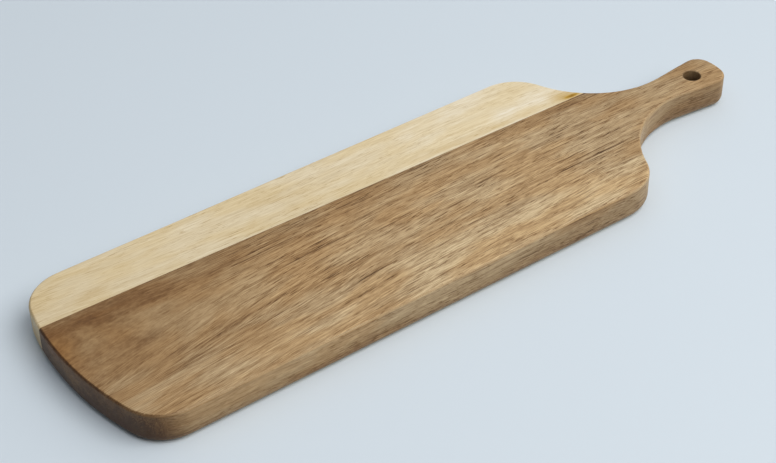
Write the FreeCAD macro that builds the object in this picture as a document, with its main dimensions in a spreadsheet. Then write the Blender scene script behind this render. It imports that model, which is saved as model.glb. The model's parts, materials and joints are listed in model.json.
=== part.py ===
import FreeCAD, Part
import math
import os
from types import SimpleNamespace
import Sketcher

# A paddle board for serving: two staves of wood, edge-glued along one straight seam, then cut to a
# paddle outline. Millimetres and degrees.
# Frame: origin at the centre of the bounding box on the underside, +X towards the handle's end,
# +Y towards the pale stave, +Z up out of the serving face.

SIZES = [
    ("overall_length", 410.0, "from the crown of the body's end to the handle's end"),
    ("body_width", 120.0, "across the two straight long edges"),
    ("thickness", 18.0, "of both staves"),
    ("crown_radius", 170.0, "shallow bow of the body's end"),
    ("crown_offset", 8.5, "how far the bow's highest point lies to the pale side of the axis"),
    ("body_corner_radius", 24.0, "from the bow into the long edges"),
    ("shoulder_radius", 26.0, "convex curve at the end of each long edge"),
    ("cove_radius", 55.0, "concave curve from the shoulder into the handle"),
    ("neck_to_end", 41.0, "from the handle's narrowest place to its end"),
    ("neck_width", 20.0, "at the narrowest place"),
    ("flare_angle", 5.7, "by which each side of the handle opens towards the end"),
    ("handle_corner_radius", 9.0, "of the handle's two outer corners"),
    ("handle_end_radius", 30.0, "bow of the handle's end"),
    ("hole_diameter", 10.0, "of the hanging hole"),
    ("hole_to_end", 18.5, "from the hole's axis to the handle's end"),
    ("hole_rim_round", 0.6, "round-over of the hole's two rims"),
    ("top_round", 1.5, "round-over of the serving face's edge"),
    ("bottom_round", 5.0, "larger round-over of the underside's edge, which lets fingers under"),
    ("seam_offset", 24.7, "from the axis to the seam, square to the seam"),
    ("seam_angle", 0.9, "at which the seam leans towards the axis on its way to the handle"),
    ("glue_thickness", 0.2, "of the cured film in the seam"),
]

# Names that a sketch gives to a curve's points, to its origin and to its horizontal axis.
START = 1
END = 2
CENTRE = 3
ORIGIN = (-1, 1)
AXIS = -1

# The two sides of the seam.
PALE = 1
BROWN = -1

UP = FreeCAD.Vector(0, 0, 1)
COINCIDENT = 1e-4

# The handle's corners stay narrower than the neck, and round-overs stay within the wood they ease.
TIP_RADIUS = "min(sizes.handle_corner_radius; 0.48 * sizes.neck_width)"
TOP_ROUND = "min(sizes.top_round; 0.4 * sizes.thickness)"
RIM_ROUND = "min(sizes.hole_rim_round; 0.4 * sizes.thickness)"
BOTTOM_ROUND = "min(sizes.bottom_round; 0.5 * sizes.thickness; 0.45 * sizes.neck_width)"


def make_sheet(doc):
    """The driving dimensions, one row each: name, value, meaning."""
    sheet = doc.addObject("Spreadsheet::Sheet", "sizes")
    for row, (alias, value, meaning) in enumerate(SIZES, start=1):
        sheet.set("A%d" % row, alias)
        sheet.set("B%d" % row, str(value))
        sheet.set("C%d" % row, meaning)
        sheet.setAlias("B%d" % row, alias)
    doc.recompute()
    return sheet


def add_sketch(body, name):
    """An empty sketch on the body's own XY plane, the plane of the underside."""
    plane = next(item for item in body.Origin.OriginFeatures if item.Role == "XY_Plane")
    sketch = body.newObject("Sketcher::SketchObject", body.Label + "_" + name)
    sketch.AttachmentSupport = [(plane, "")]
    sketch.MapMode = "FlatFace"
    return sketch


def dimension(sketch, kind, where, expression):
    """Adds one dimension at its present value and ties it to the sheet."""
    value = sketch.evalExpression(expression)
    if kind == "Angle":
        value = math.radians(value)
    index = sketch.addConstraint(Sketcher.Constraint(kind, *where, value))
    sketch.setExpression("Constraints[%d]" % index, expression)


def add_arc(sketch, side, centre, radius, start_angle, end_angle):
    """An arc of the outline's upper half, or for side -1 its mirror image below the axis."""
    circle = Part.Circle(FreeCAD.Vector(centre.x, side * centre.y, 0), UP, radius)
    angles = (start_angle, end_angle) if side > 0 else (-end_angle, -start_angle)
    return sketch.addGeometry(Part.ArcOfCircle(circle, *angles))


def add_line(sketch, side, start, end):
    """A line of the outline's upper half, or for side -1 its mirror image below the axis."""
    points = [FreeCAD.Vector(point.x, side * point.y, 0) for point in (start, end)]
    return sketch.addGeometry(Part.LineSegment(*points))


def polar(centre, radius, angle):
    """The point on a circle at an angle."""
    return centre + FreeCAD.Vector(radius * math.cos(angle), radius * math.sin(angle), 0)


def centre_left_of(other, reach, height):
    """The point at a height that lies a given reach to the left of another point."""
    return FreeCAD.Vector(other.x - math.sqrt(reach ** 2 - (height - other.y) ** 2), height, 0)


def direction(start, end):
    """The angle at which one point sees another."""
    return math.atan2(end.y - start.y, end.x - start.x)


def lay_out_half(sheet, side):
    """Centres and junction angles of one half, as seen with that half turned to +Y."""
    half_length = sheet.overall_length / 2
    half_width = sheet.body_width / 2
    flare = math.radians(sheet.flare_angle)
    place = SimpleNamespace(flare=flare)

    place.crown = FreeCAD.Vector(sheet.crown_radius - half_length, side * sheet.crown_offset, 0)
    place.corner = centre_left_of(place.crown, sheet.crown_radius - sheet.body_corner_radius,
                                  half_width - sheet.body_corner_radius)
    place.cove = FreeCAD.Vector(half_length - sheet.neck_to_end,
                                sheet.neck_width / 2 + sheet.cove_radius, 0)
    place.shoulder = centre_left_of(place.cove, sheet.shoulder_radius + sheet.cove_radius,
                                    half_width - sheet.shoulder_radius)
    place.flank_start = polar(place.cove, sheet.cove_radius, flare - math.pi / 2)
    place.tip_radius = sheet.evalExpression(TIP_RADIUS)
    place.flank_end = polar(place.flank_start, sheet.neck_to_end - place.tip_radius, flare)
    place.tip = polar(place.flank_end, place.tip_radius, flare - math.pi / 2)
    place.handle_end = FreeCAD.Vector(half_length - sheet.handle_end_radius, 0, 0)

    place.crown_angle = direction(place.crown, place.corner)
    place.ogee_angle = direction(place.shoulder, place.cove)
    place.tip_angle = direction(place.handle_end, place.tip)
    return place


def draw_half(sketch, sheet, side, crown, handle_end):
    """One side of the outline, from the body's bow to the handle's bow, every junction tangent."""
    place = lay_out_half(sheet, side)
    quarter = math.pi / 2
    corner = add_arc(sketch, side, place.corner, sheet.body_corner_radius, quarter, place.crown_angle)
    long_edge = add_line(sketch, side, polar(place.corner, sheet.body_corner_radius, quarter),
                         polar(place.shoulder, sheet.shoulder_radius, quarter))
    shoulder = add_arc(sketch, side, place.shoulder, sheet.shoulder_radius, place.ogee_angle, quarter)
    cove = add_arc(sketch, side, place.cove, sheet.cove_radius, place.ogee_angle - math.pi,
                   place.flare - quarter)
    flank = add_line(sketch, side, place.flank_start, place.flank_end)
    tip = add_arc(sketch, side, place.tip, place.tip_radius, place.tip_angle, quarter + place.flare)

    first, last = (START, END) if side > 0 else (END, START)
    junctions = [
        (crown, first, corner, last),
        (corner, first, long_edge, START),
        (long_edge, END, shoulder, last),
        (shoulder, first, cove, first),
        (cove, last, flank, START),
        (flank, END, tip, last),
        (tip, first, handle_end, last),
    ]
    for junction in junctions:
        sketch.addConstraint(Sketcher.Constraint("Tangent", *junction))
    sketch.addConstraint(Sketcher.Constraint("Horizontal", long_edge))

    dimension(sketch, "DistanceY", from_axis(side, long_edge, START), "sizes.body_width / 2")
    dimension(sketch, "Radius", (corner,), "sizes.body_corner_radius")
    dimension(sketch, "Radius", (shoulder,), "sizes.shoulder_radius")
    dimension(sketch, "Radius", (cove,), "sizes.cove_radius")
    dimension(sketch, "DistanceX", (*ORIGIN, cove, CENTRE), "sizes.overall_length / 2 - sizes.neck_to_end")
    dimension(sketch, "DistanceY", from_axis(side, cove, CENTRE),
              "sizes.neck_width / 2 + sizes.cove_radius")
    dimension(sketch, "Angle", (flank,), "%d * sizes.flare_angle" % side)
    dimension(sketch, "Radius", (tip,), TIP_RADIUS)


def from_axis(side, curve, point):
    """The two ends of a height measured from the board's axis, low one first."""
    ends = [ORIGIN, (curve, point)]
    low, high = ends if side > 0 else reversed(ends)
    return (*low, *high)


def draw_outline(body, sheet):
    """The paddle outline as one closed chain of lines and tangent arcs."""
    sketch = add_sketch(body, "outline")
    upper = lay_out_half(sheet, 1)
    lower = lay_out_half(sheet, -1)
    crown = add_arc(sketch, 1, upper.crown, sheet.crown_radius, upper.crown_angle,
                    2 * math.pi - lower.crown_angle)
    handle_end = add_arc(sketch, 1, upper.handle_end, sheet.handle_end_radius, -lower.tip_angle,
                         upper.tip_angle)
    for side in (1, -1):
        draw_half(sketch, sheet, side, crown, handle_end)
    dimension(sketch, "Radius", (crown,), "sizes.crown_radius")
    dimension(sketch, "DistanceX", (*ORIGIN, crown, CENTRE),
              "sizes.crown_radius - sizes.overall_length / 2")
    dimension(sketch, "DistanceY", (*ORIGIN, crown, CENTRE), "sizes.crown_offset")
    dimension(sketch, "Radius", (handle_end,), "sizes.handle_end_radius")
    dimension(sketch, "DistanceX", (*ORIGIN, handle_end, CENTRE),
              "sizes.overall_length / 2 - sizes.handle_end_radius")
    sketch.addConstraint(Sketcher.Constraint("PointOnObject", handle_end, CENTRE, AXIS))
    return sketch


def edges_at(feature, height):
    """Names of a feature's edges that lie flat at one height."""
    return ["Edge%d" % number for number, edge in enumerate(feature.Shape.Edges, start=1)
            if abs(edge.BoundBox.ZMin - height) < COINCIDENT
            and abs(edge.BoundBox.ZMax - height) < COINCIDENT]


def round_edges(body, name, edges, radius):
    """Rounds the named edges of the body's last feature."""
    doc = body.Document
    base = body.Tip
    rounding = body.newObject("PartDesign::Fillet", body.Label + "_" + name)
    rounding.Base = (base, edges)
    rounding.setExpression("Radius", radius)
    doc.recompute()
    return rounding


def cut_through(body, name, sketch):
    """Cuts a sketch upwards through the whole blank, and makes sure that wood came away."""
    before = body.Tip.Shape.Volume
    pocket = body.newObject("PartDesign::Pocket", body.Label + "_" + name)
    pocket.Profile = sketch
    pocket.Type = "ThroughAll"
    pocket.Reversed = True
    body.Document.recompute()
    if pocket.Shape.Volume >= before:
        raise RuntimeError(pocket.Label + " cuts nothing")
    return pocket


def make_blank(doc, sheet, label):
    """The whole glued blank: the outline at full thickness, its upper and lower edges rounded."""
    body = doc.addObject("PartDesign::Body", label)
    body.Label = label
    outline = draw_outline(body, sheet)
    board = body.newObject("PartDesign::Pad", label + "_board")
    board.Profile = outline
    board.setExpression("Length", "sizes.thickness")
    doc.recompute()
    round_edges(body, "top_edge", edges_at(board, sheet.thickness), TOP_ROUND)
    round_edges(body, "bottom_edge", edges_at(body.Tip, 0), BOTTOM_ROUND)
    return body


def cut_along_seam(body, wall, side):
    """Takes away all that lies on one side of one wall of the glue film.

    Both the wall and the side that is taken away are named by the stave that lies there. The cut
    reaches twice as far from the origin as the board does.
    """
    sketch = add_sketch(body, "pale_wall" if wall == PALE else "brown_wall")
    reach = "sizes.overall_length"
    height = "sizes.body_width"
    offset = "sizes.seam_offset + %d * sizes.glue_thickness / 2" % wall
    far_x = sketch.evalExpression(reach)
    far_y = side * sketch.evalExpression(height)
    seam_y = sketch.evalExpression(offset)
    corners = [FreeCAD.Vector(-far_x, seam_y, 0), FreeCAD.Vector(far_x, seam_y, 0),
               FreeCAD.Vector(far_x, far_y, 0), FreeCAD.Vector(-far_x, far_y, 0)]
    seam, right, far, left = [sketch.addGeometry(Part.LineSegment(start, end))
                              for start, end in zip(corners, corners[1:] + corners[:1])]
    for one, other in ((seam, right), (right, far), (far, left), (left, seam)):
        sketch.addConstraint(Sketcher.Constraint("Coincident", one, END, other, START))
    sketch.addConstraint(Sketcher.Constraint("Vertical", right))
    sketch.addConstraint(Sketcher.Constraint("Vertical", left))
    sketch.addConstraint(Sketcher.Constraint("Horizontal", far))
    dimension(sketch, "DistanceX", (*ORIGIN, seam, END), reach)
    dimension(sketch, "DistanceX", (seam, START, *ORIGIN), reach)
    dimension(sketch, "DistanceY", from_axis(side, far, START), height)
    dimension(sketch, "Angle", (seam,), "-sizes.seam_angle")
    dimension(sketch, "Distance", (*ORIGIN, seam), offset)
    return cut_through(body, "cut_at_" + sketch.Label, sketch)


def drill_hanging_hole(body, sheet):
    """The hanging hole through the handle, both rims eased."""
    sketch = add_sketch(body, "hole_circle")
    axis = FreeCAD.Vector(sheet.overall_length / 2 - sheet.hole_to_end, 0, 0)
    circle = sketch.addGeometry(Part.Circle(axis, UP, sheet.hole_diameter / 2))
    sketch.addConstraint(Sketcher.Constraint("PointOnObject", circle, CENTRE, AXIS))
    dimension(sketch, "DistanceX", (*ORIGIN, circle, CENTRE),
              "sizes.overall_length / 2 - sizes.hole_to_end")
    dimension(sketch, "Diameter", (circle,), "sizes.hole_diameter")
    hole = cut_through(body, "hanging_hole", sketch)
    rims = ["Edge%d" % number for number, edge in enumerate(hole.Shape.Edges, start=1)
            if isinstance(edge.Curve, Part.Circle)
            and edge.Curve.Center.distanceToLine(axis, UP) < COINCIDENT]
    round_edges(body, "hole_rims", rims, RIM_ROUND)


def make_heartwood_stave(doc, sheet):
    """The brown stave: most of the body, the whole handle and its hanging hole."""
    body = make_blank(doc, sheet, "heartwood_stave")
    cut_along_seam(body, BROWN, PALE)
    drill_hanging_hole(body, sheet)
    return body


def make_sapwood_stave(doc, sheet):
    """The pale stave along the +Y edge, which runs out on the cove beside the handle."""
    body = make_blank(doc, sheet, "sapwood_stave")
    cut_along_seam(body, PALE, BROWN)
    return body


def make_glue_line(doc, sheet):
    """The film of cured glue that fills the seam from one face of the board to the other."""
    body = make_blank(doc, sheet, "glue_line")
    cut_along_seam(body, PALE, PALE)
    cut_along_seam(body, BROWN, BROWN)
    return body


def check(doc, bodies):
    """Stops if a feature failed, or if a piece is not one valid solid."""
    for item in doc.Objects:
        if "Invalid" in item.State or "Error" in item.State:
            raise RuntimeError("%s: %s" % (item.Label, item.State))
    for body in bodies:
        if body.Shape.isNull() or not body.Shape.isValid() or len(body.Shape.Solids) != 1:
            raise RuntimeError(body.Label + " is not one valid solid")


def main():
    doc = FreeCAD.newDocument("paddle_board")
    sheet = make_sheet(doc)
    bodies = [
        make_heartwood_stave(doc, sheet),
        make_sapwood_stave(doc, sheet),
        make_glue_line(doc, sheet),
    ]
    doc.recompute()
    check(doc, bodies)
    os.makedirs("parts", exist_ok=True)
    for body in bodies:
        body.Shape.exportStep("parts/%s.step" % body.Label)
        print(body.Label, round(body.Shape.Volume / 1000, 2), "cm3")


main()
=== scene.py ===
"""Looks of the two-stave acacia paddle board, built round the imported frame.

The board is glued up from a brown heartwood stave and a pale sapwood stave,
cut to its paddle outline, sanded by hand and wiped with food-safe oil.  Each
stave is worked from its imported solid, and its grain is drawn by nodes that
read Object coordinates, so the fibres run through the wood and come out on
its faces, edges and ends as they do in a real plank.
"""

import json
import logging
import math
from dataclasses import dataclass, field
from enum import Enum
from typing import Any, Mapping, Sequence

import bpy
from mathutils import Matrix, Vector

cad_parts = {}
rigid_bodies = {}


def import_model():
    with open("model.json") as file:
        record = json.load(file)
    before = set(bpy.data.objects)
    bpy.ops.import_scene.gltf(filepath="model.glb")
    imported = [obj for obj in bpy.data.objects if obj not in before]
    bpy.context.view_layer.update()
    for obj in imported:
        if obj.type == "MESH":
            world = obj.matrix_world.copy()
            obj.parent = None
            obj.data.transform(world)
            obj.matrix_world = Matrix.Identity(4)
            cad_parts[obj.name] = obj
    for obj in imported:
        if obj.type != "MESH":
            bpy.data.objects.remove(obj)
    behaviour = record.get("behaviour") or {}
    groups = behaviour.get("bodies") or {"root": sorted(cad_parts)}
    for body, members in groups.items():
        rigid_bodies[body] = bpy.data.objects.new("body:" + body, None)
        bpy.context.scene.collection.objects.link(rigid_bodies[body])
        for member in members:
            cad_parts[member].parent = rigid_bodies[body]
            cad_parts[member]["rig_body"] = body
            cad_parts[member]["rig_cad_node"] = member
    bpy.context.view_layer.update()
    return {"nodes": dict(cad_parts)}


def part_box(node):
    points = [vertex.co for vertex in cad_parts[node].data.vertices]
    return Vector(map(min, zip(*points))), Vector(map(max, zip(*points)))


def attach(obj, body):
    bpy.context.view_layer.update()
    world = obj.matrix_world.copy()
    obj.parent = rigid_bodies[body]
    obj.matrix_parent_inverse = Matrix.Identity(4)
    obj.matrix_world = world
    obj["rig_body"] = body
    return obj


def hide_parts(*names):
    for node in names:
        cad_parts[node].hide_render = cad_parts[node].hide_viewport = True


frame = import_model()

LOG = logging.getLogger("paddle_board")

MM = 0.001
# width of the picture in pixels, and of the camera's sensor in mm
PICTURE_WIDTH = 776
SENSOR_WIDTH = 36.0
# half the board's length, half its width, its thickness, and how far the
# hanging hole's axis is from its middle, all in mm
HALF_LENGTH = 205.0
HALF_WIDTH = 60.0
THICKNESS = 18.0
HOLE_AT = 186.5
# value round which a noise swings
NOISE_MIDDLE = 0.5
# sockets of a Mix node that blends colours
MIX_SHARE, MIX_BASE, MIX_TINT = 0, 6, 7
MIX_RESULT = 2
# setting of a Map Range node that comes and goes softly
SOFT = {"interpolation_type": "SMOOTHSTEP"}

Socket = bpy.types.NodeSocket
Node = bpy.types.Node
Tree = bpy.types.NodeTree


class Op(str, Enum):
    """Sums that the Math and Vector Math nodes of the wood do."""

    ADD = "ADD"
    TAKE = "SUBTRACT"
    TIMES = "MULTIPLY"
    TIMES_ADD = "MULTIPLY_ADD"
    SIZE = "ABSOLUTE"
    SCALE = "SCALE"
    LENGTH = "LENGTH"
    DISTANCE = "DISTANCE"


def linear(code: str) -> tuple[float, float, float, float]:
    """Turns an sRGB hex colour into the linear values that shaders take.

    Args:
        code: Six hex digits, with or without a leading hash.

    Returns:
        Red, green and blue, all linear, and full opacity.
    """
    digits = code.lstrip("#")
    parts = [int(digits[i:i + 2], 16) / 255 for i in (0, 2, 4)]
    return (*(p / 12.92 if p <= 0.04045 else ((p + 0.055) / 1.055) ** 2.4
              for p in parts), 1.0)


def add_node(tree: Tree, kind: str, feeds: Mapping[Any, Any] | None = None,
             **settings: Any) -> Node:
    """Adds one node with its settings, values and links.

    Args:
        tree: Node tree that gets the node.
        kind: Blender's name for the kind of node.
        feeds: What goes into each input, by name or number: a value, a
            socket to link from, or a node, whose first output is linked.
        **settings: Properties of the node.

    Returns:
        The new node.
    """
    node = tree.nodes.new(kind)
    for name, value in settings.items():
        setattr(node, name, value.value if isinstance(value, Enum) else value)
    for key, value in (feeds or {}).items():
        if isinstance(value, Node):
            value = value.outputs[0]
        if isinstance(value, Socket):
            tree.links.new(value, node.inputs[key])
        else:
            node.inputs[key].default_value = value
    return node


def graded(tree: Tree, value: Any, half: float, reach: float,
           points: Sequence[tuple[float, float]]) -> Node:
    """Adds a smooth curve through points, along one axis of the board.

    Args:
        tree: Node tree of the wood.
        value: Coordinate in mm.
        half: Half the board's size on that axis, in mm.
        reach: Largest size that the curve's values may have.
        points: Places in mm, each with the value there.

    Returns:
        Node whose first output is the value of the curve.
    """
    share = add_node(tree, "ShaderNodeMapRange", {
        "Value": value, "From Min": -half, "From Max": half})
    line = add_node(tree, "ShaderNodeFloatCurve", {"Value": share})
    curve = line.mapping.curves[0]
    spots = [((at + half) / (2 * half), (level + reach) / (2 * reach))
             for at, level in points]
    curve.points[0].location = spots[0]
    curve.points[-1].location = spots[-1]
    for spot in spots[1:-1]:
        curve.points.new(*spot)
    line.mapping.update()
    return add_node(tree, "ShaderNodeMapRange", {
        "Value": line, "To Min": -reach, "To Max": reach})


def select_only(*objects: bpy.types.Object) -> None:
    """Selects these objects and nothing else.

    Args:
        *objects: The objects, of which the first becomes active.
    """
    bpy.ops.object.select_all(action="DESELECT")
    for thing in objects:
        thing.select_set(True)
    bpy.context.view_layer.objects.active = objects[0]


@dataclass(frozen=True)
class Mark:
    """A dark, light or stained streak of the real board.

    Attributes:
        x: Place of its middle along the board, in mm.
        y: Place of its middle across the board, in mm.
        length: Length in mm.
        width: Width in mm.
        angle: Turn from the board's length, in degrees.
        depth: How strongly it darkens or stains the wood, up to 1, or
            lightens it, where it is below 0.
    """

    x: float
    y: float
    length: float
    width: float
    angle: float
    depth: float


@dataclass(frozen=True)
class Flecks:
    """One layer of noise, drawn out along the fibres.

    Attributes:
        size: Length, width and depth of one fleck, in mm.
        octaves: Octaves of the noise.
        rough: Strength of its finer octaves.
        shift: Shift that makes this layer differ from the others.
        turn: Share of the pores' turn to the fibres that it has.
    """

    size: tuple[float, float, float]
    octaves: float
    rough: float
    shift: float
    turn: float = 0.0


@dataclass(frozen=True)
class Place:
    """Where a point of the wood lies, as nodes and sockets that give it.

    Attributes:
        tree: Node tree of the wood.
        point: The point in mm.
        along: Its distance from the board's middle, lengthwise, in mm.
        across: Its distance from the board's axis, in mm.
        through: Its height above the underside, in mm.
        facing: Separated direction in which the surface looks.
        inside: Its place along, across and through the fibres, in mm.
        figure: Strength of the fine figure there.
    """

    tree: Tree
    point: Node
    along: Socket
    across: Socket
    through: Socket
    facing: Node
    inside: Node
    figure: Node


@dataclass(frozen=True)
class Fibres:
    """How the fibres of a stave run, as seen on its top face.

    Attributes:
        rise: Points (x, y) in mm along a fibre, the same for all of them.
        drift: Points (x, y) in mm that the fan adds to it.
        fan: Points (y in mm, share of the drift that the fibres follow).
        wander: How far the fibres wander to either side, in mm.
        curl: How far they curl in the restless part of the stave, in mm.
        curl_place: Middle (x, y) of the restless part, in mm.
        curl_size: Half length and half width of that part, in mm.
        hush: Share of the fine figure that is left there.
        edge_run: Share of their slant that shows on the long edges.
    """

    rise: Sequence[tuple[float, float]]
    drift: Sequence[tuple[float, float]]
    fan: Sequence[tuple[float, float]]
    wander: float
    curl: float
    curl_place: tuple[float, float]
    curl_size: tuple[float, float]
    hush: float
    edge_run: float = 0.15

    # largest drift and rise that their curves can hold, in mm
    DRIFT_REACH = 30.0
    RISE_REACH = 20.0
    # length, width and depth of one lazy wave of the trunk, in mm
    WAVE = (75, 16, 16)
    # height of the restless part's middle, and half its depth, in mm
    CURL_HEIGHT = 9.0
    CURL_DEPTH = 60.0
    # shares of its size where it starts and ends calming down
    CALMING = {"From Min": 0.2, "From Max": 1.0}
    # how far a face looks sideways, where it starts to be a long edge and
    # where it is one
    LONG_EDGE = {"From Min": 0.55, "From Max": 0.9}

    def lay(self, tree: Tree) -> Place:
        """Adds the nodes that give a point's place among the fibres.

        Args:
            tree: Node tree of the wood.

        Returns:
            The place, with the strength of the fine figure there.
        """
        surface = add_node(tree, "ShaderNodeTexCoord")
        facing = add_node(tree, "ShaderNodeSeparateXYZ",
                          {0: surface.outputs["Normal"]})
        point = add_node(tree, "ShaderNodeVectorMath",
                         {0: surface.outputs["Object"], "Scale": 1 / MM},
                         operation=Op.SCALE)
        axes = add_node(tree, "ShaderNodeSeparateXYZ", {0: point})
        along, across, through = axes.outputs

        drift = graded(tree, along, HALF_LENGTH, self.DRIFT_REACH,
                       self.drift)
        fan = graded(tree, across, HALF_WIDTH, 1.0, self.fan)
        bend = add_node(tree, "ShaderNodeMath", {0: drift, 1: fan},
                        operation=Op.TIMES)
        straight = add_node(tree, "ShaderNodeMath", {0: across, 1: bend},
                            operation=Op.TAKE)
        rise = graded(tree, along, HALF_LENGTH, self.RISE_REACH, self.rise)
        straight = add_node(tree, "ShaderNodeMath", {0: straight, 1: rise},
                            operation=Op.TAKE)
        base = add_node(tree, "ShaderNodeCombineXYZ",
                        {0: along, 1: straight, 2: through})

        # the restless part beside a branch, where the fibres curl
        restless = add_node(tree, "ShaderNodeMapping", {
            "Vector": point, "Location": (*self.curl_place, self.CURL_HEIGHT),
            "Scale": (*self.curl_size, self.CURL_DEPTH)},
            vector_type="TEXTURE")
        reach = add_node(tree, "ShaderNodeVectorMath", {0: restless},
                         operation=Op.LENGTH)
        calm = add_node(tree, "ShaderNodeMapRange", {
            "Value": reach.outputs["Value"], **self.CALMING}, **SOFT)
        figure = add_node(tree, "ShaderNodeMapRange", {
            "Value": calm, "To Min": self.hush})

        # long lazy waves of the whole trunk; the noise swings by a half to
        # either side, so the width of the swing is doubled
        slow = add_node(tree, "ShaderNodeVectorMath",
                        {0: point, 1: tuple(1 / size for size in self.WAVE)},
                        operation=Op.TIMES)
        waves = add_node(tree, "ShaderNodeTexNoise",
                         {"Vector": slow, "Scale": 1.0, "Detail": 2.0})
        swing = add_node(tree, "ShaderNodeVectorMath",
                         {0: waves.outputs["Color"], 1: (NOISE_MIDDLE,) * 3},
                         operation=Op.TAKE)
        width = add_node(tree, "ShaderNodeMapRange", {
            "Value": calm, "To Min": 2 * self.curl,
            "To Max": 2 * self.wander})
        swing = add_node(tree, "ShaderNodeVectorMath",
                         {0: swing, "Scale": width}, operation=Op.SCALE)
        sideways = add_node(tree, "ShaderNodeVectorMath",
                            {0: swing, 1: (0.0, 1.0, 1.0)},
                            operation=Op.TIMES)
        inside = add_node(tree, "ShaderNodeVectorMath",
                          {0: base, 1: sideways}, operation=Op.ADD)

        # the long edges were cut along the fibres, so the pores lie in them
        outward = add_node(tree, "ShaderNodeMath", {0: facing.outputs[1]},
                           operation=Op.SIZE)
        slant = add_node(tree, "ShaderNodeMapRange", {
            "Value": outward, **self.LONG_EDGE,
            "To Min": 1.0, "To Max": self.edge_run})
        squeeze = add_node(tree, "ShaderNodeCombineXYZ",
                           {0: 1.0, 1: slant, 2: 1.0})
        inside = add_node(tree, "ShaderNodeVectorMath",
                          {0: inside, 1: squeeze}, operation=Op.TIMES)
        return Place(tree, point, along, across, through, facing, inside,
                     figure)


@dataclass(frozen=True)
class OiledAcacia:
    """Acacia, planed, sanded to about 180 grit and wiped with food oil.

    The oil leaves a satin film that is thin over the fibres and sinks into
    the open pores, so the eye gets a soft sheen broken by fine dark dashes.

    Attributes:
        name: Name of the material.
        fibres: How the fibres run.
        shades: Colours from the darkest streak to the lightest fibre, each
            with its place from 0 to 1.
        tone: Tone of the plain wood, 0 dark to 1 light.
        along_tone: Points (x in mm, tone added) along the board.
        across_tone: Points (y in mm, tone added) across the board.
        edge_tone: Points (x in mm, tone added) along its edges.
        figure_along: Points (x in mm, share of the fine figure there).
        figure_across: Points (y in mm, share of the fine figure there).
        mottle: Strength of the broad clouds.
        clouds: Their strength where the fibres are restless.
        bands: Strength of the growth bands.
        streaks: Strength of the streaks, about two mm wide.
        threads: Strength of the single fibres.
        lines: Strength of the long dark lines, as a share of the pores'.
        pores_along: Points (x in mm, strength of the pore dashes there).
        pore_share: Noise level above which a pore shows; lower gives more.
        fleck_turn: Turn of the pores to the fibres, in degrees.
        straw: Strength of the light straw flecks.
        straw_reach: Values of y in mm where they start and are strongest.
        marks: Dark and light streaks with a place of their own.
        stains: Warm stains with a place of their own.
        stain_colour: Colour that the stains lay over the wood.
        cloud_colour: Colour that the broad clouds lay over it.
        end_soak_and_light: Points (x in mm, tone taken from the end grain
            there): the oil's darkening, with painted shade added at the left
            end and painted light, as values below 0, at the right end.
        sheen_rough: Roughness of the oiled face.
        relief: Height of the raised fibres in mm.
        seed: Shift of the patterns, so that the two staves differ.
    """

    name: str
    fibres: Fibres
    shades: Sequence[tuple[float, str]]
    tone: float
    along_tone: Sequence[tuple[float, float]]
    across_tone: Sequence[tuple[float, float]]
    edge_tone: Sequence[tuple[float, float]]
    figure_along: Sequence[tuple[float, float]]
    figure_across: Sequence[tuple[float, float]]
    mottle: float
    clouds: float
    bands: float
    streaks: float
    threads: float
    lines: float
    pores_along: Sequence[tuple[float, float]]
    pore_share: float
    fleck_turn: float
    straw: float
    straw_reach: tuple[float, float]
    marks: Sequence[Mark]
    stains: Sequence[Mark]
    stain_colour: str
    cloud_colour: str
    end_soak_and_light: Sequence[tuple[float, float]]
    sheen_rough: float
    relief: float
    seed: float

    # clouds of darker and lighter wood, as broad as a thumb
    MOTTLE = Flecks((45, 14, 14), 2.0, 0.5, 5.1)
    # softer spots, from a fingernail's size down to a grain of rice's
    SPOTS = Flecks((15, 5, 6), 4.0, 0.65, 31.3)
    # specks of one to three mm
    SPECKS = Flecks((3.2, 1.0, 1.4), 2.0, 0.6, 63.7)
    # growth bands: early and late wood, about 8 mm wide
    BANDS = Flecks((240, 8, 9), 2.0, 0.45, 11.3)
    # ribbons of denser fibre, 2 mm wide and half a hand long
    STREAKS = Flecks((46, 1.8, 2.4), 3.0, 0.6, 23.9)
    # single fibres, drawn 0.5 mm wide so that they show in the render
    THREADS = Flecks((11, 0.5, 0.7), 3.0, 0.65, 41.7, turn=0.5)
    # pores cut open lengthwise: dashes about 6 mm long, 0.4 mm wide
    DASHES = Flecks((6.0, 0.38, 0.5), 1.0, 0.5, 57.1, turn=1.0)
    # where the pores crowd
    CROWDS = Flecks((26, 4, 5), 2.0, 0.5, 71.9)
    # long fine dark lines, where a row of pores runs on
    LINES = Flecks((42, 0.5, 0.7), 1.0, 0.5, 97.1)
    # short light flecks, where the saw cut across the fibres
    STRAW = Flecks((11, 1.1, 1.4), 2.0, 0.55, 87.3, turn=1.0)

    # noise levels between which each of them comes up
    CROWD_LEVELS = {"From Min": 0.38, "From Max": 0.62}
    DASH_LEVELS = {"From Max": 0.09}
    LINE_LEVELS = {"From Min": 0.56, "From Max": 0.7}
    STRAW_LEVELS = {"From Min": 0.5, "From Max": 0.68}
    STREAK_LEVELS = {"From Min": 0.38, "From Max": 0.7}
    CLOUD_LEVELS = {"From Min": 0.62, "From Max": 0.38}
    # how far the pores' own level goes up outside a crowd, and down in it
    SPARSE = 0.07
    CROWDED = 0.03

    # largest tone that a curve along or across the board can hold
    TONE_REACH = 0.5
    # half the depth to which a mark goes into the wood, in mm
    MARK_DEPTH = 8.0
    # share of a mark that is left where a streak crosses it
    MARK_LEFT = 0.4
    # share of the fine figure on the edges, which were sanded finer
    EDGE_FIGURE = 0.55

    # how far a face looks endwise, from long edge to end grain, and up or
    # down, from flat face to edge
    END_GRAIN = {"From Min": 0.03, "From Max": 0.8}
    EDGE = {"From Min": 0.85, "From Max": 0.25}
    # painted shade: the edges' tone falls by 0.23 between these heights, in
    # mm, so they go darker towards the underside
    PAINTED_FOOT_SHADE = {"From Min": 16.5, "From Max": 2.0, "To Max": 0.23}
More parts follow.
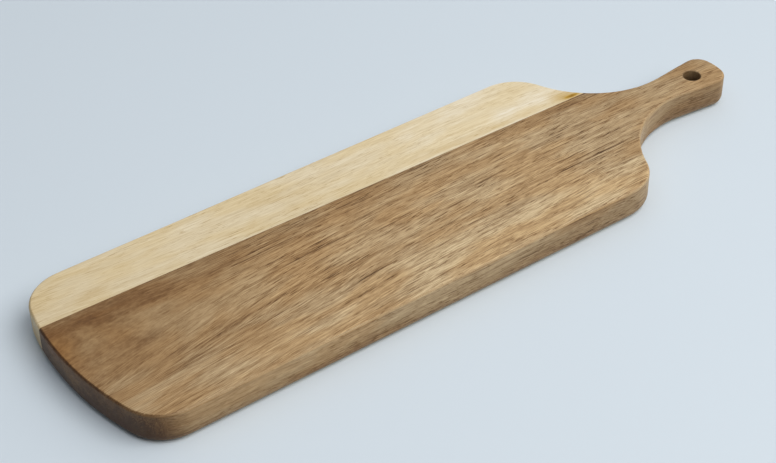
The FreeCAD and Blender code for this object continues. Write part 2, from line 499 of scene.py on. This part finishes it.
    # painted shade in the hole: distances from the axis between which its
    # colour comes up, on the eased rim, and heights between which it goes from
    # a quarter to full, darkest deep down
    BORE_WALL = {"From Min": 5.7, "From Max": 5.2}
    BORE_SHADE_DEEP = {"From Min": 17.5, "From Max": 9.0, "To Min": 0.25}
    BORE_SHADE_COLOUR = "#5A4026"

    # roughness that an open pore adds to the sheen's
    PORE_ROUGH = 0.18
    # depth of a pore, as a share of the relief
    PORE_DEPTH = 0.6
    # how strongly the relief turns the light
    RELIEF_LIGHT = 0.6
    SPECULAR = 0.3

    def grain(self, place: Place, flecks: Flecks) -> Node:
        """Adds a layer of noise drawn out along the fibres.

        Args:
            place: Where the point lies.
            flecks: The layer.

        Returns:
            Node whose first output is the noise, near 0.5.
        """
        length, width, depth = flecks.size
        turn = math.radians(flecks.turn * self.fleck_turn)
        drawn = add_node(place.tree, "ShaderNodeMapping", {
            "Vector": place.inside,
            "Location": (-(flecks.shift + self.seed) * length,
                         -3 * flecks.shift * width,
                         -7 * flecks.shift * depth),
            "Rotation": (0.0, 0.0, turn),
            "Scale": flecks.size}, vector_type="TEXTURE")
        return add_node(place.tree, "ShaderNodeTexNoise", {
            "Vector": drawn, "Scale": 1.0, "Detail": flecks.octaves,
            "Roughness": flecks.rough})

    def placed(self, place: Place, mark: Mark) -> Node:
        """Adds the mask of one streak, full in its middle, 0 outside.

        Args:
            place: Where the point lies.
            mark: The streak.

        Returns:
            Node whose first output is the mask times the mark's depth.
        """
        own = add_node(place.tree, "ShaderNodeMapping", {
            "Vector": place.point,
            "Location": (mark.x, mark.y, THICKNESS),
            "Rotation": (0.0, 0.0, math.radians(mark.angle)),
            "Scale": (mark.length / 2, mark.width / 2, self.MARK_DEPTH)},
            vector_type="TEXTURE")
        reach = add_node(place.tree, "ShaderNodeVectorMath", {0: own},
                         operation=Op.LENGTH)
        return add_node(place.tree, "ShaderNodeMapRange", {
            "Value": reach.outputs["Value"], "From Min": 1.0,
            "From Max": 0.0, "To Max": mark.depth}, **SOFT)

    def gathered(self, place: Place, marks: Sequence[Mark]) -> Node:
        """Adds the masks of several streaks together.

        Args:
            place: Where the point lies.
            marks: The streaks.

        Returns:
            Node whose first output is the sum of their masks.
        """
        total = self.placed(place, marks[0])
        for mark in marks[1:]:
            total = add_node(place.tree, "ShaderNodeMath",
                             {0: total, 1: self.placed(place, mark)},
                             operation=Op.ADD)
        return total

    def swung(self, tree: Tree, start: Any,
              layers: Sequence[tuple[Node, Any]]) -> Node:
        """Adds the swings of several layers of noise to a tone.

        Args:
            tree: Node tree of the wood.
            start: Tone to start from.
            layers: Each layer with its strength.

        Returns:
            Node whose first output is the new tone.
        """
        total = start
        for layer, strength in layers:
            swing = add_node(tree, "ShaderNodeMath",
                             {0: layer, 1: NOISE_MIDDLE}, operation=Op.TAKE)
            total = add_node(tree, "ShaderNodeMath",
                             {0: swing, 1: strength, 2: total},
                             operation=Op.TIMES_ADD)
        return total

    def soaked(self, place: Place) -> tuple[Node, Node]:
        """Adds how much darker the sawn edges are than the top face.

        End grain drinks the oil and goes darker, with painted shade added at
        the left end and painted light at the right end and the handle's cove;
        the long edges get painted shade, darker towards the underside.

        Args:
            place: Where the point lies.

        Returns:
            Node whose first output is 1 on the edges and 0 on the faces,
            and the tone to take away.
        """
        tree = place.tree
        endwise, upright = (
            add_node(tree, "ShaderNodeMath", {0: place.facing.outputs[axis]},
                     operation=Op.SIZE) for axis in (0, 2))
        # end grain: the oil's darkening, plus painted shade at the left end
        # and painted light where the curve goes below 0
        end = add_node(tree, "ShaderNodeMapRange", {
            "Value": endwise, **self.END_GRAIN,
            "To Max": graded(tree, place.along, HALF_LENGTH,
                             self.TONE_REACH, self.end_soak_and_light)})
        edge = add_node(tree, "ShaderNodeMapRange",
                        {"Value": upright, **self.EDGE})
        # painted shade: the edges darken towards the underside
        low = add_node(tree, "ShaderNodeMapRange",
                       {"Value": place.through, **self.PAINTED_FOOT_SHADE})
        side = add_node(tree, "ShaderNodeMath", {
            0: low, 1: graded(tree, place.along, HALF_LENGTH,
                              self.TONE_REACH, self.edge_tone)},
            operation=Op.TAKE)
        total = add_node(tree, "ShaderNodeMath", {0: edge, 1: side, 2: end},
                         operation=Op.TIMES_ADD)
        return edge, total

    def bored(self, place: Place) -> Node:
        """Adds the mask of painted shade on the bored hole's wall.

        Args:
            place: Where the point lies.

        Returns:
            Node whose first output grows from the hole's rim downwards.
        """
        level = add_node(place.tree, "ShaderNodeVectorMath",
                         {0: place.point, 1: (1.0, 1.0, 0.0)},
                         operation=Op.TIMES)
        bore = add_node(place.tree, "ShaderNodeVectorMath",
                        {0: level, 1: (HOLE_AT, 0.0, 0.0)},
                        operation=Op.DISTANCE)
        # painted shade: darker the deeper down the hole
        depth_shade = add_node(place.tree, "ShaderNodeMapRange",
                        {"Value": place.through, **self.BORE_SHADE_DEEP})
        return add_node(place.tree, "ShaderNodeMapRange", {
            "Value": bore.outputs["Value"], **self.BORE_WALL,
            "To Max": depth_shade})

    def ground_tone(self, place: Place, mottle: Node, edge: Node) -> Node:
        """Adds the tone of the wood without its fine figure.

        Args:
            place: Where the point lies.
            mottle: Noise of the broad clouds.
            edge: Mask of the edges.

        Returns:
            Node whose first output is the tone.
        """
        tree = place.tree
        tone = add_node(tree, "ShaderNodeMath", {
            0: graded(tree, place.along, HALF_LENGTH, self.TONE_REACH,
                      self.along_tone),
            1: graded(tree, place.across, HALF_WIDTH, self.TONE_REACH,
                      self.across_tone)}, operation=Op.ADD)
        face = add_node(tree, "ShaderNodeMath", {0: 1.0, 1: edge},
                        operation=Op.TAKE)
        tone = add_node(tree, "ShaderNodeMath",
                        {0: tone, 1: face, 2: self.tone},
                        operation=Op.TIMES_ADD)
        cloudy = add_node(tree, "ShaderNodeMapRange", {
            "Value": place.figure, "From Min": self.fibres.hush,
            "To Min": self.clouds, "To Max": self.mottle})
        return self.swung(tree, tone, (
            (mottle, cloudy),
            (self.grain(place, self.SPOTS), cloudy),
            (self.grain(place, self.SPECKS), cloudy),
            (self.grain(place, self.BANDS), self.bands)))

    def open_pores(self, place: Place) -> Node:
        """Adds the mask of the single pores.

        Args:
            place: Where the point lies.

        Returns:
            Node whose first output is 1 in a pore and 0 beside it.
        """
        level = add_node(place.tree, "ShaderNodeMapRange", {
            "Value": self.grain(place, self.CROWDS), **self.CROWD_LEVELS,
            "To Min": self.pore_share + self.SPARSE,
            "To Max": self.pore_share - self.CROWDED})
        over = add_node(place.tree, "ShaderNodeMath",
                        {0: self.grain(place, self.DASHES), 1: level},
                        operation=Op.TAKE)
        return add_node(place.tree, "ShaderNodeMapRange",
                        {"Value": over, **self.DASH_LEVELS}, **SOFT)

    def fine_figure(self, place: Place, streaks: Node, threads: Node,
                    pores: Node) -> Node:
        """Adds the fine figure: streaks, fibres, pores and straw flecks.

        Args:
            place: Where the point lies.
            streaks: Noise of the streaks.
            threads: Noise of the single fibres.
            pores: Mask of the pores.

        Returns:
            Node whose first output is the tone that it adds or takes.
        """
        tree = place.tree
        fine = self.swung(tree, 0.0, ((streaks, self.streaks),
                                      (threads, self.threads)))
        rows = add_node(tree, "ShaderNodeMapRange", {
            "Value": self.grain(place, self.LINES), **self.LINE_LEVELS,
            "To Max": self.lines}, **SOFT)
        dark = add_node(tree, "ShaderNodeMath", {0: pores, 1: rows},
                        operation=Op.ADD)
        dark = add_node(tree, "ShaderNodeMath", {
            0: dark, 1: graded(tree, place.along, HALF_LENGTH, 1.0,
                               self.pores_along)}, operation=Op.TIMES)
        fine = add_node(tree, "ShaderNodeMath", {0: fine, 1: dark},
                        operation=Op.TAKE)
        fringe = add_node(tree, "ShaderNodeMapRange", {
            "Value": place.across, "From Min": self.straw_reach[0],
            "From Max": self.straw_reach[1], "To Max": self.straw})
        light = add_node(tree, "ShaderNodeMapRange", {
            "Value": self.grain(place, self.STRAW), **self.STRAW_LEVELS},
            **SOFT)
        return add_node(tree, "ShaderNodeMath",
                        {0: light, 1: fringe, 2: fine},
                        operation=Op.TIMES_ADD)

    def figure_share(self, place: Place, edge: Node) -> Node:
        """Adds how much of the fine figure shows.

        Args:
            place: Where the point lies.
            edge: Mask of the edges.

        Returns:
            Node whose first output is the share.
        """
        share = add_node(place.tree, "ShaderNodeMapRange", {
            "Value": edge, "To Min": 1.0, "To Max": self.EDGE_FIGURE})
        for factor in (place.figure,
                       graded(place.tree, place.along, HALF_LENGTH, 1.0,
                              self.figure_along),
                       graded(place.tree, place.across, HALF_WIDTH, 1.0,
                              self.figure_across)):
            share = add_node(place.tree, "ShaderNodeMath",
                             {0: share, 1: factor}, operation=Op.TIMES)
        return share

    def coloured(self, place: Place, tone: Node, mottle: Node) -> Socket:
        """Adds the colour of the wood, with its clouds, stains and the bore's
        painted shade.

        Args:
            place: Where the point lies.
            tone: Tone of the wood.
            mottle: Noise of the broad clouds.

        Returns:
            The socket that gives the colour.
        """
        ramp = add_node(place.tree, "ShaderNodeValToRGB", {"Fac": tone})
        stops = ramp.color_ramp.elements
        while len(stops) < len(self.shades):
            stops.new(0.5)
        for stop, (at, code) in zip(stops, self.shades):
            stop.position = at
            stop.color = linear(code)

        # the clouds are warmer as well as darker
        glow = add_node(place.tree, "ShaderNodeMapRange",
                        {"Value": mottle, **self.CLOUD_LEVELS}, **SOFT)
        colour = ramp.outputs[0]
        for share, tint in (
                (glow, self.cloud_colour),
                (self.gathered(place, self.stains), self.stain_colour),
                # painted shade on the hole's wall
                (self.bored(place), self.BORE_SHADE_COLOUR)):
            layer = add_node(place.tree, "ShaderNodeMix", {
                MIX_SHARE: share, MIX_BASE: colour, MIX_TINT: linear(tint)},
                data_type="RGBA", blend_type="MULTIPLY", clamp_factor=True)
            colour = layer.outputs[MIX_RESULT]
        return colour

    def material(self) -> bpy.types.Material:
        """Builds the finish.

        Returns:
            The material.
        """
        made = bpy.data.materials.new(self.name)
        made.use_nodes = True
        tree = made.node_tree
        tree.nodes.clear()
        place = self.fibres.lay(tree)
        mottle = self.grain(place, self.MOTTLE)
        streaks = self.grain(place, self.STREAKS)
        threads = self.grain(place, self.THREADS)
        pores = self.open_pores(place)
        # what the edges take away: oil soak, painted shade and painted light
        edge, soak_and_shade = self.soaked(place)

        tone = add_node(tree, "ShaderNodeMath", {
            0: self.fine_figure(place, streaks, threads, pores),
            1: self.figure_share(place, edge),
            2: self.ground_tone(place, mottle, edge)},
            operation=Op.TIMES_ADD)
        # the streaks break up the marks that have a place
        broken = add_node(tree, "ShaderNodeMapRange", {
            "Value": streaks, **self.STREAK_LEVELS,
            "To Min": 1.0, "To Max": self.MARK_LEFT})
        marks = add_node(tree, "ShaderNodeMath", {
            0: self.gathered(place, self.marks), 1: broken},
            operation=Op.TIMES)
        # take away the marks, and the edges' oil soak with their painted shade
        # and light
        for taken in (marks, soak_and_shade):
            tone = add_node(tree, "ShaderNodeMath", {0: tone, 1: taken},
                            operation=Op.TAKE)

        rough = add_node(tree, "ShaderNodeMath", {
            0: pores, 1: self.PORE_ROUGH, 2: self.sheen_rough},
            operation=Op.TIMES_ADD)
        height = add_node(tree, "ShaderNodeMath", {
            0: pores, 1: -self.PORE_DEPTH, 2: threads},
            operation=Op.TIMES_ADD)
        bump = add_node(tree, "ShaderNodeBump", {
            "Strength": self.RELIEF_LIGHT, "Distance": self.relief * MM,
            "Height": height})
        shader = add_node(tree, "ShaderNodeBsdfPrincipled", {
            "Base Color": self.coloured(place, tone, mottle),
            "Roughness": rough, "Specular IOR Level": self.SPECULAR,
            "Normal": bump})
        add_node(tree, "ShaderNodeOutputMaterial", {"Surface": shader})
        return made


@dataclass(frozen=True)
class CuredGlue:
    """Wood glue, cured in a thin pressed film and sanded flush.

    It is a shade darker than the wood and slightly glassy, and shows as a
    hairline between the staves.

    Attributes:
        name: Name of the material.
        colour: Its colour.
        soaked: Colour where the film is starved and the wood shows through.
        spots: Thick spots of the film in a metre, which is one in 11 mm.
        rough: Roughness of the sanded film.
        relief: Height of its waves in mm.
    """

    name: str = "cured_wood_glue_sanded"
    colour: str = "#6B4E33"
    soaked: str = "#8A6A48"
    spots: float = 90.0
    rough: float = 0.4
    relief: float = 0.02

    # noise levels where the film is thick and where it is starved
    LEVELS = (0.35, 0.65)
    # how strongly the relief turns the light
    RELIEF_LIGHT = 0.3

    def material(self) -> bpy.types.Material:
        """Builds the finish.

        Returns:
            The material.
        """
        made = bpy.data.materials.new(self.name)
        made.use_nodes = True
        tree = made.node_tree
        tree.nodes.clear()
        place = add_node(tree, "ShaderNodeTexCoord")
        film = add_node(tree, "ShaderNodeTexNoise", {
            "Vector": place.outputs["Object"], "Scale": self.spots,
            "Detail": 3.0})
        ramp = add_node(tree, "ShaderNodeValToRGB", {"Fac": film})
        for stop, at, code in zip(ramp.color_ramp.elements, self.LEVELS,
                                  (self.colour, self.soaked)):
            stop.position = at
            stop.color = linear(code)
        bump = add_node(tree, "ShaderNodeBump", {
            "Strength": self.RELIEF_LIGHT, "Distance": self.relief * MM,
            "Height": film})
        shader = add_node(tree, "ShaderNodeBsdfPrincipled", {
            "Base Color": ramp, "Roughness": self.rough, "Normal": bump})
        add_node(tree, "ShaderNodeOutputMaterial", {"Surface": shader})
        return made


@dataclass(frozen=True)
class PaleTable:
    """Laminate table top, pressed matt, pale and a little blue.

    Attributes:
        name: Name of the material.
        colour: Its colour.
        rough: Roughness of the matt face.
    """

    name: str = "matt_pale_laminate"
    colour: str = "#D4DFE8"
    rough: float = 0.6

    def material(self) -> bpy.types.Material:
        """Builds the finish.

        Returns:
            The material.
        """
        made = bpy.data.materials.new(self.name)
        made.use_nodes = True
        shader = made.node_tree.nodes["Principled BSDF"]
        shader.inputs["Base Color"].default_value = linear(self.colour)
        shader.inputs["Roughness"].default_value = self.rough
        return made


HEARTWOOD_FIBRES = Fibres(
    rise=((-205, -6), (-100, -3), (0, 0), (60, 1.5), (110, 2), (160, 0),
          (205, -3)),
    drift=((-205, -17.5), (-160, -13), (-110, -7.5), (-60, -3.3), (-20, -1),
           (40, 0), (205, -1)),
    fan=((-60, 0.45), (-45, 0.6), (-30, 1.0), (-20, 0.85), (-5, 0.4),
         (8, 0.0), (24, -0.4), (60, -0.5)),
    wander=1.5, curl=2.6, curl_place=(-185, 6), curl_size=(98, 50),
    hush=0.24)

HEARTWOOD = OiledAcacia(
    name="oiled_acacia_heartwood_sanded",
    fibres=HEARTWOOD_FIBRES,
    shades=((0.0, "#4F3824"), (0.25, "#7D5F3D"), (0.5, "#A58A65"),
            (0.75, "#C1A781"), (1.0, "#DBC59D")),
    tone=0.595,
    along_tone=((-205, -0.20), (-180, -0.18), (-137, -0.09), (-87, -0.01),
                (-37, 0.05), (12, 0.08), (62, 0.105), (115, 0.02),
                (150, -0.01), (205, 0.01)),
    across_tone=((-60, 0.09), (-45, 0.085), (-30, 0.0), (-15, 0.02),
                 (0, 0.0), (11, -0.04), (18, -0.11), (24, -0.14),
                 (60, -0.14)),
    edge_tone=((-205, 0.0), (-184, -0.08), (-160, 0.0), (-60, 0.03),
               (0, 0.03), (45, -0.05), (110, -0.04), (150, -0.06),
               (175, -0.12), (205, -0.06)),
    # end grain: tone taken away; the dark left end adds painted shade, the
    # values below 0 at the right are painted light
    end_soak_and_light=((-205, 0.42), (-100, 0.42), (-60, 0.1), (100, -0.12),
              (205, -0.16)),
    figure_along=((-205, 0.8), (-130, 0.85), (-60, 1.0), (90, 1.0),
                  (140, 0.74), (205, 0.74)),
    figure_across=((-60, 1.0), (-5, 1.0), (14, 0.84), (60, 0.8)),
    mottle=0.09, clouds=0.34, bands=0.22, streaks=0.75, threads=1.5,
    lines=0.95,
    pores_along=((-205, 0.12), (-120, 0.22), (-50, 0.36), (205, 0.38)),
    pore_share=0.57, fleck_turn=4.0, straw=0.17, straw_reach=(-24, -44),
    # each mark: x, y, length, width, angle, depth
    marks=(Mark(-160, 15, 80, 14, -6, 0.1),
           Mark(-176, 14, 44, 10, -30, 0.07),
           Mark(-168, -6, 34, 16, -20, 0.12),
           Mark(-133, 0, 26, 8, 10, 0.13),
           Mark(-15, -33, 120, 22, 3, -0.09),
           Mark(-45, -14, 150, 16, 2, -0.05),
           Mark(62, 14, 70, 16, 0, -0.07),
           Mark(-185, -36, 70, 34, 5, -0.09),
           Mark(-130, -25, 90, 2.6, 9, 0.2),
           Mark(-160, -34, 60, 5, 8, 0.16),
           Mark(-165, -41, 70, 2.2, 7, -0.2),
           Mark(-72, -1, 44, 8, 2, 0.12),
           Mark(-45, -50, 17, 1.6, 2, 0.5),
           Mark(20, -27, 50, 3.0, 2, 0.2),
           Mark(92, -24.5, 82, 1.5, 1, 0.85),
           Mark(110, -15, 50, 12, 0, 0.05),
           Mark(74, -18, 60, 1.4, 2, 0.5),
           Mark(96, -21, 44, 1.3, 2, 0.6),
           Mark(48, -12, 20, 1.3, 2, 0.6),
           Mark(116, -7, 150, 8, 0, -0.08)),
    stains=(Mark(-203, 8, 60, 26, 84, 0.5),
            Mark(-184, 12, 76, 44, -20, 0.28),
            Mark(-95, 5, 330, 110, 0, 0.2),
            Mark(-170, 20, 40, 5, -2, 0.2)),
    stain_colour="#EBCC8E", cloud_colour="#FAF0E2",
    sheen_rough=0.5, relief=0.06, seed=0.0)

SAPWOOD_FIBRES = Fibres(
    rise=((-205, 0), (205, 0)),
    drift=((-205, 7), (-120, 2), (-40, 0), (20, 1), (80, 0),
           (140, -4), (205, -9)),
    fan=((-60, 1.0), (60, 0.9)),
    wander=1.2, curl=3.0, curl_place=(-150, 38), curl_size=(50, 20),
    hush=0.8)

SAPWOOD = OiledAcacia(
    name="oiled_acacia_sapwood_sanded",
    fibres=SAPWOOD_FIBRES,
    shades=((0.0, "#9C7F57"), (0.25, "#C2AB84"), (0.5, "#D8C6A2"),
            (0.75, "#E7D9BB"), (1.0, "#F4EBD8")),
    tone=0.57,
    along_tone=((-205, -0.12), (-137, 0.0), (-37, 0.03), (12, 0.11),
                (62, 0.19), (120, 0.20), (205, 0.20)),
    across_tone=((-60, 0.0), (25, 0.03), (40, 0.0), (50, 0.0), (60, 0.02)),
    edge_tone=((-205, 0.05), (205, 0.05)),
    # end grain: tone taken away, with painted shade added at the left end
    end_soak_and_light=((-205, 0.22), (-60, 0.1), (100, 0.0), (205, 0.0)),
    figure_along=((-205, 0.8), (-80, 1.0), (205, 1.0)),
    figure_across=((-60, 1.0), (60, 1.0)),
    mottle=0.08, clouds=0.1, bands=0.25, streaks=0.42, threads=0.88,
    lines=0.35, pores_along=((-205, 0.25), (-60, 0.34), (205, 0.3)),
    pore_share=0.615, fleck_turn=1.0, straw=0.0,
    straw_reach=(20, 60),
    # each mark: x, y, length, width, angle, depth
    marks=(Mark(120, 24.8, 10, 2.2, -3, 0.65),
           Mark(-100, 50, 14, 0.9, -1, 0.4),
           Mark(-92, 33.8, 16, 0.9, -2, 0.5),
           Mark(-57, 31.4, 9, 0.9, 0, 0.6),
           Mark(-80, 57, 26, 1.0, 0, 0.3)),
    stains=(Mark(-172, 36, 34, 12, 5, 0.25),
            Mark(60, 27.2, 150, 8, -1, 0.3),
            Mark(118, 27, 34, 18, -20, 0.66),
            Mark(120, 24.8, 16, 4.0, -3, 0.8)),
    stain_colour="#D2B456", cloud_colour="#FCF7EA",
    sheen_rough=0.5, relief=0.04, seed=131.0)


@dataclass
class Stave:
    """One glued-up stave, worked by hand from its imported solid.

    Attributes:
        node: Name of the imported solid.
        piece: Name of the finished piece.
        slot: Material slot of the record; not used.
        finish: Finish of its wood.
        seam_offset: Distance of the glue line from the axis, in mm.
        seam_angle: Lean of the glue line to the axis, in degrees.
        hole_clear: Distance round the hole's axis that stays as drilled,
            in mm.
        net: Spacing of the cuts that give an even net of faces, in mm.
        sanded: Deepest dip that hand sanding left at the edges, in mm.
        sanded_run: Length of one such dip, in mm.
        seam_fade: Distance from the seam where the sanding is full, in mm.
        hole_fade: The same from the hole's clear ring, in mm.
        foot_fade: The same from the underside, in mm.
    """

    node: str
    piece: str
    slot: str
    finish: OiledAcacia
    seam_offset: float = 24.7
    seam_angle: float = 0.9
    hole_clear: float = 9.0
    net: float = 6.0
    sanded: float = 0.35
    sanded_run: float = 40.0
    seam_fade: float = 12.0
    hole_fade: float = 6.0
    foot_fade: float = 5.0

    # distance in m at which loose corners are one
    MERGE = 1e-6
    # lean in radians up to which two faces are one flat face
    FLAT = math.radians(0.02)
    # angle in radians up to which two faces are shaded as one round form
    SMOOTH = math.radians(35)
    # how much more a large face turns the shading than a small one
    FACE_WEIGHT = 80
    # how fast the sanding comes up as a face turns away from level
    STEEP_GAIN = 4

    def build(self) -> bpy.types.Object:
        """Builds the stave's mesh.

        Returns:
            The finished piece, without its material.
        """
        stave = self.rough_out()
        self.cut_net(stave)
        self.sand_edges(stave)
        select_only(stave)
        bpy.ops.object.shade_smooth_by_angle(angle=self.SMOOTH)
        weigh = stave.modifiers.new("even_light", "WEIGHTED_NORMAL")
        weigh.keep_sharp = True
        weigh.weight = self.FACE_WEIGHT
        bpy.ops.object.modifier_apply(modifier=weigh.name)
        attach(stave, "root")
        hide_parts(self.node)
        return stave

    def rough_out(self) -> bpy.types.Object:
        """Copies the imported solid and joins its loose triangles.

        Returns:
            The copy, with each flat face in one piece again.
        """
        select_only(frame["nodes"][self.node])
        bpy.ops.object.duplicate()
        stave = bpy.context.active_object
        stave.parent = None
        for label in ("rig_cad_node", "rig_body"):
            del stave[label]
        stave.name = stave.data.name = self.piece
        stave.data.materials.clear()
        bpy.ops.object.mode_set(mode="EDIT")
        bpy.ops.mesh.customdata_custom_splitnormals_clear()
        bpy.ops.mesh.select_all(action="SELECT")
        bpy.ops.mesh.remove_doubles(threshold=self.MERGE)
        bpy.ops.mesh.dissolve_limited(angle_limit=self.FLAT)
        bpy.ops.object.mode_set(mode="OBJECT")
        return stave

    def cut_net(self, stave: bpy.types.Object) -> None:
        """Cuts the stave's faces crosswise and lengthwise into a net.

        Args:
            stave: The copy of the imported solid.
        """
        low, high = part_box(self.node)
        select_only(stave)
        bpy.ops.object.mode_set(mode="EDIT")
        for axis in (0, 1):
            normal = tuple(float(axis == i) for i in range(3))
            cuts = int((high[axis] - low[axis]) / (self.net * MM))
            for number in range(1, cuts + 1):
                spot = [0.0, 0.0, 0.0]
                spot[axis] = low[axis] + number * self.net * MM
                bpy.ops.mesh.select_all(action="SELECT")
                bpy.ops.mesh.bisect(plane_co=spot, plane_no=normal)
        bpy.ops.object.mode_set(mode="OBJECT")

    def sand_edges(self, stave: bpy.types.Object) -> None:
        """Sinks the rounded edges a little, unevenly, as sanding does.

        Args:
            stave: The stave with its net of faces.
        """
        lean = math.radians(self.seam_angle)
        group = stave.vertex_groups.new(name="sanded_edge")
        for vertex in stave.data.vertices:
            x, y, z = vertex.co / MM
            seam = abs((y - self.seam_offset) * math.cos(lean)
                       + x * math.sin(lean))
            hole = math.hypot(x - HOLE_AT, y) - self.hole_clear
            steep = 1 - abs(vertex.normal.z)
            shares = (steep * self.STEEP_GAIN, seam / self.seam_fade,
                      hole / self.hole_fade, z / self.foot_fade)
            weight = math.prod(min(1.0, max(0.0, part)) for part in shares)
            group.add([vertex.index], weight, "REPLACE")
        dips = bpy.data.textures.new(f"{self.piece}_dips", "CLOUDS")
        dips.noise_scale = self.sanded_run * MM
        dips.noise_depth = 1
        sand = stave.modifiers.new("sanded_by_hand", "DISPLACE")
        sand.texture = dips
        sand.texture_coords = "LOCAL"
        sand.vertex_group = group.name
        sand.mid_level = 0.0
        sand.strength = -self.sanded * MM
        select_only(stave)
        bpy.ops.object.modifier_apply(modifier=sand.name)
        stave.vertex_groups.clear()

    def dress(self, stave: bpy.types.Object) -> None:
        """Gives the stave its wood."""
        stave.data.materials.append(self.finish.material())


@dataclass
class ServingBoard:
    """The whole board: two staves and the glue between them."""

    heartwood: Stave = field(default_factory=lambda: Stave(
        "heartwood_stave", "heartwood_stave_sanded", "heartwood",
        HEARTWOOD))
    sapwood: Stave = field(default_factory=lambda: Stave(
        "sapwood_stave", "sapwood_stave_sanded", "sapwood",
        SAPWOOD))
    glue: CuredGlue = CuredGlue()

    def build(self) -> list[bpy.types.Object]:
        """Builds and dresses the pieces.

        Returns:
            The pieces that show.
        """
        pieces = []
        for stave in (self.heartwood, self.sapwood):
            piece = stave.build()
            stave.dress(piece)
            pieces.append(piece)
        film = frame["nodes"]["glue_line"]
        film.material_slots[0].material = self.glue.material()
        pieces.append(film)
        return pieces


@dataclass
class Softbox:
    """One soft lamp, aimed at the board.

    Attributes:
        name: Name of the lamp.
        bearing: Direction in which it stands, in degrees from +X to +Y.
        height: Angle above the table, in degrees.
        power: Power in W.
        colour: Colour of its light.
        distance: Distance from the board, in m.
        size: Edge of its square face, in m.
    """

    name: str
    bearing: float
    height: float
    power: float
    colour: str
    distance: float = 2.4
    size: float = 2.0

    def build(self) -> bpy.types.Object:
        """Sets the lamp up.

        Returns:
            The lamp.
        """
        turn, lift = math.radians(self.bearing), math.radians(self.height)
        way = Vector((math.cos(turn) * math.cos(lift),
                      math.sin(turn) * math.cos(lift), math.sin(lift)))
        bpy.ops.object.light_add(
            type="AREA", location=way * self.distance,
            rotation=way.to_track_quat("Z", "Y").to_euler())
        lamp = bpy.context.active_object
        lamp.name = lamp.data.name = self.name
        lamp.data.size = self.size
        lamp.data.energy = self.power
        lamp.data.color = linear(self.colour)[:3]
        return lamp


@dataclass
class Studio:
    """Table, light and camera of the photograph.

    Attributes:
        table: Finish of the table top.
        table_size: Edge of the table, in m.
        table_gap: Gap under the board in m, so that the faces don't
            coincide.
        sky: Colour of the room's even light.
        sky_strength: Strength of that light.
        lamps: The soft lamps.
        focal_pixels: Focal length in pixels of the picture.
        azimuth: Turn of the camera round the board, in degrees.
        elevation: Its height above the table, in degrees.
        roll: Its roll, in degrees.
        distance: Its distance from the aim, in mm.
        aim: Point of the table it looks at, in mm.
        sight: Nearest and farthest that it sees, in m.
    """

    table: PaleTable = PaleTable()
    table_size: float = 12.0
    table_gap: float = 0.1 * MM
    sky: str = "#EEF3F8"
    sky_strength: float = 0.16
    lamps: Sequence[Softbox] = (
        Softbox("window_light", -66, 57, 46, "#FFFDFA"),
        Softbox("side_light", -15, 38, 15, "#FFFDFA"),
        Softbox("back_glow", 60, 40, 5, "#F6F9FF"),
        Softbox("left_glow", 160, 75, 8, "#F6F9FF"),
    )
    focal_pixels: float = 1757.41
    azimuth: float = -35.34
    elevation: float = 38.97
    roll: float = -0.83
    distance: float = 903.8
    aim: tuple[float, float, float] = (-17.53, 7.07, 0.0)
    sight: tuple[float, float] = (0.01, 50.0)

    def build(self) -> None:
        """Sets the whole studio up."""
        self.lay_table()
        self.fill_room()
        for lamp in self.lamps:
            lamp.build()
        self.place_camera()

    def lay_table(self) -> None:
        """Lays the pale table top under the board."""
        bpy.ops.object.select_all(action="DESELECT")
        bpy.ops.mesh.primitive_plane_add(
            size=self.table_size, location=(0, 0, -self.table_gap))
        table = bpy.context.active_object
        table.name = "table_top"
        bpy.ops.object.transform_apply(location=True)
        table.data.materials.append(self.table.material())

    def fill_room(self) -> None:
        """Fills the room with even light, seen in the table's colour."""
        room = bpy.data.worlds.new("pale_room")
        bpy.context.scene.world = room
        room.use_nodes = True
        tree = room.node_tree
        tree.nodes.clear()
        glow = add_node(tree, "ShaderNodeBackground", {
            "Color": linear(self.sky), "Strength": self.sky_strength})
        wall = add_node(tree, "ShaderNodeBackground", {
            "Color": linear(self.table.colour), "Strength": 1.0})
        path = add_node(tree, "ShaderNodeLightPath")
        seen = add_node(tree, "ShaderNodeMixShader", {
            0: path.outputs["Is Camera Ray"], 1: glow, 2: wall})
        add_node(tree, "ShaderNodeOutputWorld", {"Surface": seen})

    def place_camera(self) -> None:
        """Stands the camera where the photograph was taken."""
        turn, lift = map(math.radians, (self.azimuth, self.elevation))
        back = Vector((math.sin(turn) * math.cos(lift),
                       -math.cos(turn) * math.cos(lift), math.sin(lift)))
        right = Vector((math.cos(turn), math.sin(turn), 0.0))
        basis = Matrix((right, back.cross(right), back)).transposed()
        pose = basis.to_4x4() @ Matrix.Rotation(
            math.radians(self.roll), 4, "Z")
        pose.translation = (Vector(self.aim) + back * self.distance) * MM
        bpy.ops.object.camera_add()
        camera = bpy.context.active_object
        camera.name = "photograph_camera"
        camera.matrix_world = pose
        camera.data.sensor_width = SENSOR_WIDTH
        camera.data.lens = self.focal_pixels / PICTURE_WIDTH * SENSOR_WIDTH
        camera.data.clip_start, camera.data.clip_end = self.sight
        bpy.context.scene.camera = camera


def main() -> None:
    """Builds the board and its studio."""
    logging.basicConfig(level=logging.INFO, format="%(message)s")
    bpy.context.scene.view_settings.view_transform = "Standard"
    for piece in ServingBoard().build():
        LOG.info("%s: %d faces", piece.name, len(piece.data.polygons))
    Studio().build()


if __name__ == "__main__":
    main()
